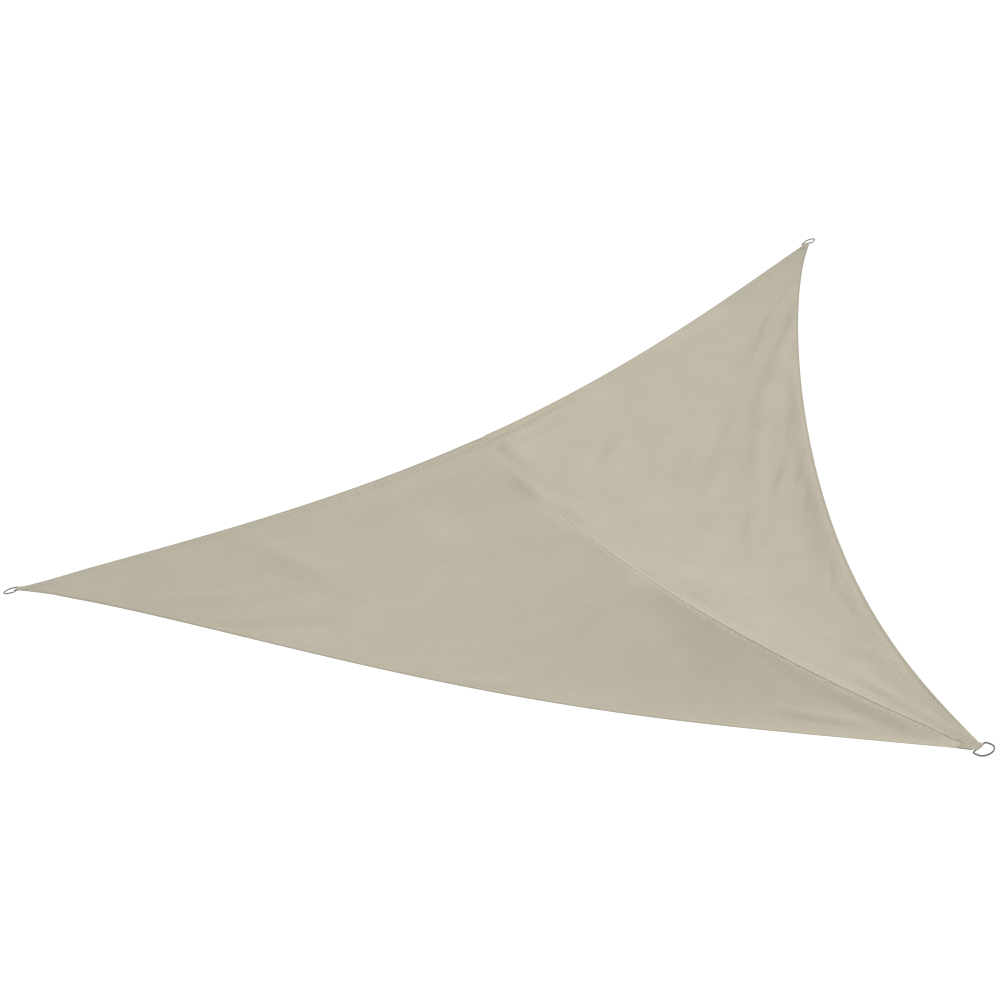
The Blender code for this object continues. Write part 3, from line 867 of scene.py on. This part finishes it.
def woven_cloth(name, sewn):
    """Base colour = mottling between dark and light, shaded a little by the streaks of thicker
    and thinner yarn; height = the weave's waves. A sewn cloth has its marks added: base colour
    * (tone + speckle * specks - painted shade in the puckers) and height + puckers along the
    sewing + strain lines. The tone carries painted light and shade as well as the cloth's own tone."""
    times, added = {"operation": "MULTIPLY"}, {"operation": "MULTIPLY_ADD"}
    made, tree, shader = finish(name, CLOTH_COLOUR, 0.82)
    shader.inputs["Sheen Weight"].default_value = 0.08
    shader.inputs["Sheen Roughness"].default_value = 0.5
    shader.inputs["Specular IOR Level"].default_value = 0.35
    place = node(tree, "UVMap", {"uv_map": "cloth"}).outputs["UV"]
    # a wave's bands repeat every 2 pi / (20 scale)
    pitch = 2 * math.pi / 20 / YARN / 2
    warp = node(tree, "TexWave", {"bands_direction": "X"}, Vector=place, Scale=pitch).outputs["Fac"]
    weft = node(tree, "TexWave", {"bands_direction": "Y"}, Vector=place, Scale=pitch).outputs["Fac"]
    over = node(tree, "TexChecker", Vector=place, Scale=1 / YARN).outputs["Fac"]
    weave = node(tree, "Mix", {"data_type": "FLOAT"}, Factor=over, A=warp, B=weft).outputs[0]
    height = node(tree, "Math", times, (weave, WEAVE_HEIGHT)).outputs[0]
    long_warp = node(tree, "Mapping", Vector=place, Scale=(260.0, 9.0, 1.0)).outputs["Vector"]
    long_weft = node(tree, "Mapping", Vector=place, Scale=(9.0, 260.0, 1.0)).outputs["Vector"]
    warp_slub = node(tree, "TexNoise", Vector=long_warp, Scale=1.0, Detail=2.0).outputs["Fac"]
    weft_slub = node(tree, "TexNoise", Vector=long_weft, Scale=1.0, Detail=2.0).outputs["Fac"]
    slub = node(tree, "Math", {"operation": "ADD"}, (warp_slub, weft_slub)).outputs[0]
    streaks = node(tree, "MapRange", Value=slub, From_Min=0.7, From_Max=1.3, To_Min=1.0 - STREAK,
                   To_Max=1.0 + STREAK).outputs[0]
    tone = node(tree, "Attribute", {"attribute_name": "tone"}).outputs["Fac"]
    cloud = node(tree, "TexNoise", Vector=place, Scale=6.0, Detail=5.0,
                 Roughness=0.62).outputs["Fac"]
    mottle = node(tree, "MapRange", Value=cloud, From_Min=0.32, From_Max=0.68).outputs[0]
    patch = node(tree, "Mix", {"data_type": "RGBA"}, Factor=mottle, A=linear(CLOTH_DARK),
                 B=linear(CLOTH_LIGHT)).outputs["Result"]
    if sewn:
        mark = {each: node(tree, "Attribute", {"attribute_name": each}).outputs["Fac"]
                for each in ("speckle", "seam_pucker", "hem_pucker", "strain")}
        specks = node(tree, "TexNoise", Vector=place, Scale=SPECK_SCALE, Detail=1.0).outputs["Fac"]
        specks = node(tree, "MapRange", Value=specks, From_Min=0.35, From_Max=0.65, To_Min=-1.0,
                      To_Max=1.0).outputs[0]
        tone = node(tree, "Math", added, (specks, mark["speckle"], tone)).outputs[0]
        along = node(tree, "UVMap", {"uv_map": "sewing"}).outputs["UV"]
        for direction, pucker in (("X", "seam_pucker"), ("Y", "hem_pucker")):
            wave = node(tree, "TexWave", {"bands_direction": direction}, Vector=along,
                        Scale=PUCKER_SCALE, Distortion=1.8, Detail_Scale=0.6).outputs["Fac"]
            height = node(tree, "Math", added, (wave, mark[pucker], height)).outputs[0]
            # painted shade in the puckers' troughs
            painted_shade = node(tree, "Math", times, (mark[pucker], -PUCKER_SHADE)).outputs[0]
            tone = node(tree, "Math", added, (wave, painted_shade, tone)).outputs[0]
        fan = node(tree, "UVMap", {"uv_map": "fan"}).outputs["UV"]
        fan = node(tree, "Mapping", Vector=fan, Scale=(60.0, 3.0, 1.0)).outputs["Vector"]
        line = node(tree, "TexNoise", Vector=fan, Scale=1.0, Detail=1.5).outputs["Fac"]
        height = node(tree, "Math", added, (line, mark["strain"], height)).outputs[0]
    tone = node(tree, "Math", times, (tone, streaks)).outputs[0]
    tone = node(tree, "VectorMath", {"operation": "SCALE"}, (patch,), Scale=tone).outputs[0]
    tree.links.new(tone, shader.inputs["Base Color"])
    bump_node = node(tree, "Bump", Height=height, Strength=1.0, Distance=1.0)
    tree.links.new(bump_node.outputs["Normal"], shader.inputs["Normal"])
    return made


# thread knots and needle holes are under 1 mm: drawn about 7 mm wide, to show at all
SPECK_SCALE = 140.0
# puckers that a row of stitches draws up, about 24 mm from one to the next
PUCKER_SCALE = 2 * math.pi / 20 / 0.024
# painted shade in the puckers: how much darker for each metre of their height
PUCKER_SHADE = 28.0
PANEL_FINISH = woven_cloth("woven_polyester_sewn", True)
STRAP_FINISH = woven_cloth("woven_polyester_strap", False)
print("cloth finish has", len(PANEL_FINISH.node_tree.nodes), "nodes")

# %% [markdown]
# ## Thread and steel
#
# The thread is bonded polyester, smoother and a little paler than the cloth. The rings are
# bent from stainless steel wire and butt-welded, then tumbled, which leaves a satin surface
# with fine marks along the wire.

# %% Thread and steel finishes
def sewing_thread():
    """Paler than the cloth and smoother, with a twist too fine to see: mottled by noise."""
    made, tree, shader = finish("polyester_thread", "#C2BCAB", 0.55)
    place = node(tree, "TexCoord").outputs["Object"]
    cloud = node(tree, "TexNoise", Vector=place, Scale=90.0, Detail=2.0).outputs["Fac"]
    tone = node(tree, "Mix", {"data_type": "RGBA"}, Factor=cloud, A=linear("#B0AA99"),
                B=linear("#CFC9B8")).outputs["Result"]
    tree.links.new(tone, shader.inputs["Base Color"])
    return made


def tumbled_steel():
    """Satin stainless steel: roughness from fine noise, 0.28 to 0.42."""
    made, tree, shader = finish("stainless_steel", "#6C6E69", 0.34, 1.0)
    place = node(tree, "TexCoord").outputs["Object"]
    marks = node(tree, "TexNoise", Vector=place, Scale=700.0, Detail=4.0).outputs["Fac"]
    rough = node(tree, "MapRange", Value=marks, From_Min=0.3, From_Max=0.7, To_Min=0.28,
                 To_Max=0.42).outputs[0]
    tree.links.new(rough, shader.inputs["Roughness"])
    bump_node = node(tree, "Bump", Height=marks, Strength=0.1, Distance=0.0001)
    tree.links.new(bump_node.outputs["Normal"], shader.inputs["Normal"])
    return made


THREAD_FINISH = sewing_thread()
STEEL_FINISH = tumbled_steel()
for made in (THREAD_FINISH, STEEL_FINISH):
    print(made.name, "has", len(made.node_tree.nodes), "nodes")

# %% [markdown]
# ## The two panels
#
# The warp runs along the seam, so each point's UV place is its distance along the seam and
# square to it, in metres on the plane through the three corners.

# %% Panels
def cloth_places(points):
    """Metres along the seam's line and square to it, on the plane of the three corners."""
    near, left, high = (CORNER[name]["at"] for name in ("near", "left", "high"))
    normal = unit(np.cross(high - near, left - near))
    warp = seam_curve(0.0) - seam_curve(1.0)
    warp = unit(warp - normal * warp.dot(normal))
    weft = np.cross(normal, warp)
    return np.stack(((points - near) @ weft, (points - near) @ warp), axis=-1)


for name, grid in GRIDS.items():
    points, faces, sources = closed_sheet(grid)
    marks = {mark: values[sources] for mark, values in grid["marks"].items()}
    panel = fill_mesh(name + "_cloth", points, faces, PANEL_FINISH, cloth_places(points), marks)
    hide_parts(name + "_panel")
    print(panel.name, "has", 2 * len(faces), "triangles")

# %% [markdown]
# ## Stitches
#
# A lock stitch is a short loop of thread that dives into the cloth at both ends. One stitch
# is a four-sided bar along half a sine, and a whole row of them is worked out at once: every
# stitch's place, direction and normal are read off the cloth's own surface.

# %% Rows of stitches
# real stitches are 4 mm apart, of 0.5 mm thread: drawn larger, or no view would show them
STITCH_PITCH = 0.011
STITCH_LENGTH = 0.0075
THREAD_RADIUS = 0.0009
# along the stitch, and how much of the thread's radius it stands above the cloth
STITCH_ALONG = np.array((-0.5, -0.22, 0.22, 0.5))
STITCH_RISE = np.array((-1.2, 0.35, 0.35, -1.2))
STITCH_SIDES = np.radians(np.array((0.0, 90.0, 180.0, 270.0)))


def spaced(line, normals, pitch):
    """Points, directions and normals at even steps along a line of points."""
    distance = line_lengths(line)
    steps = np.arange(pitch / 2, distance[-1], pitch)
    places = np.stack([np.interp(steps, distance, line[:, k]) for k in range(3)], axis=-1)
    square = np.stack([np.interp(steps, distance, normals[:, k]) for k in range(3)], axis=-1)
    forward = unit(np.gradient(places, axis=0))
    return places, forward, unit(square)


def stitch_row(places, forward, square, length=STITCH_LENGTH, radius=THREAD_RADIUS):
    """Stitch point = place + forward * length * along + square * radius * rise + the ring of
    four sides of the thread round it."""
    sideways = np.cross(square, forward)
    centre = (places[:, None] + forward[:, None] * (STITCH_ALONG * length)[None, :, None]
              + square[:, None] * (STITCH_RISE * radius)[None, :, None])
    ring = (sideways[:, None] * np.cos(STITCH_SIDES)[None, :, None]
            + square[:, None] * np.sin(STITCH_SIDES)[None, :, None]) * radius
    points = centre[:, :, None] + ring[:, None]
    count, stations, sides = points.shape[:3]
    number = np.arange(count * stations * sides).reshape(count, stations, sides)
    beside = np.roll(number, -1, axis=2)
    walls = np.stack((number[:, :-1], number[:, 1:], beside[:, 1:], beside[:, :-1]), axis=-1)
    faces = np.concatenate((walls.reshape(-1, 4), number[:, 0], number[:, -1, ::-1]))
    return points.reshape(-1, 3), faces


def joined(parts):
    """Several lots of points and faces as one."""
    shift = np.cumsum([0] + [len(points) for points, _ in parts[:-1]])
    return (np.concatenate([points for points, _ in parts]),
            np.concatenate([faces + first for (_, faces), first in zip(parts, shift)]))


def grid_line(grid, index, row, side):
    """One row or column of a sheet's upper (side 1) or under side (side -1), with normals."""
    reach = grid["above"] if side > 0 else grid["below"]
    pick = (slice(index, index + 1), slice(None)) if row else (slice(None), slice(index, index + 1))
    normals = grid["normals"][pick].reshape(-1, 3) * side
    return grid["points"][pick].reshape(-1, 3) + normals * reach[pick].reshape(-1, 1), normals


def clear_of_corners(places, radius):
    """Which places are further than radius from every ring's bar."""
    distances = [from_bar(places, corner) for corner in CORNER.values()]
    return np.min(distances, axis=0) > radius


def sewn(grid, index, row, side):
    """One row of stitches along a line of the grid, left out where the tabs cover it."""
    places, forward, square = spaced(*grid_line(grid, index, row, side), STITCH_PITCH)
    kept = clear_of_corners(places, TIP_SETBACK + 0.05)
    return stitch_row(places[kept], forward[kept], square[kept])


for name, grid in GRIDS.items():
    lines = [(-1 - HEM_STITCHES, False, 1), (HEM_STITCHES, True, 1), (-1 - HEM_STITCHES, False, -1)]
    if name == "right":
        lines += [(column, False, 1) for column in SEAM_STITCHES]
    points, faces = joined([sewn(grid, *line) for line in lines])
    fill_mesh(name + "_stitches", points, faces, THREAD_FINISH, points[:, :2])

# %% [markdown]
# ## Corner tabs
#
# A tab is a strap of the same cloth folded round the ring's bar, with one tongue over and one
# under the cloth's corner. It is narrow at the bar, so that the ring can turn, and wider over
# the cloth, where a box of stitches with a cross in it spreads the pull.

# %% Tabs
TAB_LENGTH = 0.062
TAB_WIDTH = 0.029
TAB_FLARE = 0.048
TAB_INSET = 0.008
TAB_GAP = 0.0006
TAB_OPENS = 0.019
TAB_HALF = 0.0005
# the end of a tongue is heat-cut and pressed to a thin edge over this length
TAB_TAPER = 0.012
TAB_THINNED = 0.7
TAB_LAYERS = {"near": 2, "left": 1, "high": 1}
TAB_TONE = {"near": 0.93, "left": 0.80, "high": 0.80}
TAB_BOX = (-0.057, -0.024)
# how far the box of stitches stays inside the tongue's sides
TAB_MARGIN = 0.005
TAB_PITCH = 0.8 * STITCH_PITCH


def tongue_height(name):
    """From the middle of the gripped cloth to the middle of a tongue pressed down on it."""
    lap = (TAB_LAYERS[name] - 1) * (CLOTH + SEAM_GAP) / 2
    return lap + THIN + TOUCHING_GAP + TAB_HALF


def tab_grid(name):
    """A path over, round and under, carried across the strap's width, which flares from
    TAB_WIDTH at the bar to TAB_FLARE at the tongue's end."""
    corner, grip = CORNER[name], tongue_height(name)
    turn = RING_WIRE / 2 + TAB_GAP + CLOTH / 2
    angles = np.radians(np.linspace(80, -80, 15))
    tongue = np.linspace(-TAB_LENGTH, -TAB_OPENS, 18)
    path = np.concatenate((
        np.stack((tongue, np.full_like(tongue, grip)), axis=-1),
        np.stack((np.cos(angles), np.sin(angles)), axis=-1) * turn,
        np.stack((tongue[::-1], np.full_like(tongue, -grip)), axis=-1)))
    spread = np.clip(-path[:, 0] / TAB_LENGTH, 0.0, 1.0)
    under = np.clip(-path[:, 1] / grip, 0.0, 1.0)
    half = (TAB_WIDTH + (TAB_FLARE - TAB_WIDTH) * spread) / 2 - TAB_INSET * under
    across = np.linspace(-1.0, 1.0, 15)
    points = (corner["at"] - corner["inward"] * path[:, None, :1]
              + corner["normal"] * path[:, None, 1:]
              + corner["bar"] * (half[:, None] * across)[..., None])
    down, side = np.gradient(points, axis=0), np.gradient(points, axis=1)
    normals = unit(np.cross(side, down))
    normals = normals * np.sign(normals[0, 7].dot(corner["normal"]))
    taper = fade(-path[:, :1], TAB_LENGTH - TAB_TAPER, TAB_LENGTH)
    above = TAB_HALF * ((1.0 + TAB_THINNED) * taper - TAB_THINNED) * np.ones(len(across))
    return {"points": points, "normals": normals, "above": above,
            "below": np.full(above.shape, TAB_HALF)}


def tab_stitches(name, side):
    """A box with a cross in it on one tongue: lines from corner to corner of the box."""
    corner, grip = CORNER[name], tongue_height(name) + TAB_HALF
    ends = {}
    for x in TAB_BOX:
        half = (TAB_WIDTH + (TAB_FLARE - TAB_WIDTH) * -x / TAB_LENGTH) / 2 - TAB_MARGIN
        if side < 0:
            half -= TAB_INSET / 2
        for edge in (-1, 1):
            ends[x, edge] = (corner["at"] - corner["inward"] * x + corner["bar"] * (edge * half)
                             + corner["normal"] * (side * grip))
    deep, shallow = TAB_BOX
    lines = (((deep, -1), (deep, 1)), ((deep, 1), (shallow, 1)), ((shallow, 1), (shallow, -1)),
             ((shallow, -1), (deep, -1)), ((deep, -1), (shallow, 1)), ((deep, 1), (shallow, -1)))
    rows = []
    for first, last in lines:
        line = np.linspace(ends[first], ends[last], 20)
        rows.append(stitch_row(*spaced(line, np.tile(corner["normal"] * side, (20, 1)), TAB_PITCH)))
    return joined(rows)


for name in CORNER:
    grid = tab_grid(name)
    points, faces, sources = closed_sheet(grid)
    marks = {"tone": np.full(len(points), TAB_TONE[name])}
    tab = fill_mesh(name + "_strap", points, faces, STRAP_FINISH, cloth_places(points), marks)
    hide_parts(name + "_tab")
    points, faces = joined([tab_stitches(name, side) for side in (1, -1)])
    cross = fill_mesh(name + "_tab_stitches", points, faces, THREAD_FINISH, points[:, :2])
    print(tab.name, "made, with", 2 * len(faces), "triangles of thread")

# %% [markdown]
# ## D-rings
#
# A D-ring is one length of wire bent round a former and butt-welded in the middle of its bar.
# Its shape here is a closed outline with a round section carried along it, a little thicker
# where the weld was made.

# %% Rings
# the weld bead: how much thicker, how long, and how far from the middle of the bar
WELD_SHARE = 0.16
WELD_LENGTH = 0.0022
WELD_PLACE = 0.006
RING_SIDES = 20


def ring_outline():
    """The wire's middle line in its own plane: the bar along X, two rounded corners, and a
    round bow whose top is RING_DEPTH out along Y, as even steps of about a millimetre."""
    half = RING_WIDTH / 2
    inner = half - RING_CORNER
    arcs = ((inner, RING_CORNER, RING_CORNER, -90, 0), (0.0, RING_DEPTH - half, half, 0, 180),
            (-inner, RING_CORNER, RING_CORNER, 180, 270))
    corners = [np.zeros((1, 2))]
    for x, y, radius, first, last in arcs:
        angles = np.radians(np.linspace(first, last, 40))
        arc = np.stack((np.cos(angles), np.sin(angles)), axis=-1)
        corners.append((x, y) + radius * arc)
    line = np.concatenate(corners + [np.zeros((1, 2))])
    distance = line_lengths(line)
    steps = np.linspace(0.0, distance[-1], 141)[:-1]
    return np.stack([np.interp(steps, distance, line[:, k]) for k in range(2)], axis=-1)


def ring_mesh(corner):
    """Centre line + round section: radius (cos a * the line's side + sin a * the ring's axis)."""
    outline = ring_outline()
    axis = np.cross(corner["bar"], corner["pull"])
    centre = corner["at"] + outline[:, :1] * corner["bar"] + outline[:, 1:] * corner["pull"]
    forward = unit(np.roll(centre, -1, axis=0) - np.roll(centre, 1, axis=0))
    sideways = np.cross(forward, axis)
    weld = np.exp(-(np.linalg.norm(outline - (WELD_PLACE, 0.0), axis=-1) / WELD_LENGTH) ** 2)
    radius = RING_WIRE / 2 * (1.0 + WELD_SHARE * weld)
    angles = np.linspace(0.0, 2 * math.pi, RING_SIDES, endpoint=False)
    points = centre[:, None] + radius[:, None, None] * (
        sideways[:, None] * np.cos(angles)[None, :, None] + axis * np.sin(angles)[None, :, None])
    number = np.arange(points.shape[0] * RING_SIDES).reshape(-1, RING_SIDES)
    ahead = np.roll(number, -1, axis=0)
    beside, both = np.roll(number, -1, axis=1), np.roll(ahead, -1, axis=1)
    faces = np.stack((number, beside, both, ahead), axis=-1).reshape(-1, 4)
    return points.reshape(-1, 3), faces


for name, corner in CORNER.items():
    points, faces = ring_mesh(corner)
    ring = fill_mesh(name + "_d_ring", points, faces, STEEL_FINISH, points[:, :2])
    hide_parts(name + "_ring")
    print(ring.name, "spans", np.ptp(points, axis=0).round(4), "m")

# %% [markdown]

# %% [markdown]
# ## Floor, light and camera
#
# The sail hangs high over a plain pale floor in a big soft studio. One very wide sun from the
# right and a bright sky give it shading without a hard shadow. The camera looks down by 15
# degrees from in front of the near corner. Its lens and pitch are an estimate.

# %% Studio
FLOOR_HEIGHT = -2.5
FLOOR_REACH = 400.0
SUN_ENERGY = 1.3
SKY_STRENGTH = 0.88
CAMERA_PLACE = (-1.2746, -4.8439, 1.9756)
CAMERA_PITCH = math.radians(75.0)
LENS = 72.0


def studio_floor():
    """One wide square under the sail."""
    corners = np.array(((-1, -1), (1, -1), (1, 1), (-1, 1))) * FLOOR_REACH
    points = np.column_stack((corners, np.full(4, FLOOR_HEIGHT)))
    mesh = bpy.data.meshes.new("studio_floor")
    mesh.from_pydata(points.tolist(), [], [(0, 1, 2, 3)])
    mesh.materials.append(finish("matt_paper", "#F7F7F4", 0.9)[0])
    place_object("studio_floor", mesh)


def studio_light():
    """A wide sun and an even sky."""
    sun = bpy.data.lights.new("key_light", "SUN")
    sun.energy = SUN_ENERGY
    sun.angle = math.radians(30.0)
    key = place_object("key_light", sun)
    key.rotation_euler = (0.0, math.radians(28.0), math.radians(20.0))
    world = bpy.data.worlds.new("studio")
    world.use_nodes = True
    world.node_tree.nodes["Background"].inputs["Color"].default_value = (1.0, 1.0, 1.0, 1.0)
    world.node_tree.nodes["Background"].inputs["Strength"].default_value = SKY_STRENGTH
    bpy.context.scene.world = world


def studio_camera():
    """Level from side to side, pitched down, and 72 mm on a 36 mm sensor."""
    lens = bpy.data.cameras.new("camera")
    lens.lens = LENS
    lens.sensor_width = 36.0
    lens.clip_end = 2 * FLOOR_REACH
    camera = place_object("camera", lens)
    camera.location = CAMERA_PLACE
    camera.rotation_euler = (CAMERA_PITCH, 0.0, 0.0)
    bpy.context.scene.camera = camera


studio_floor()
studio_light()
studio_camera()
bpy.context.scene.view_settings.view_transform = "Standard"
print("camera", round(math.dist(CAMERA_PLACE, (0.0, 0.0, 0.0)), 2), "m from the near corner")
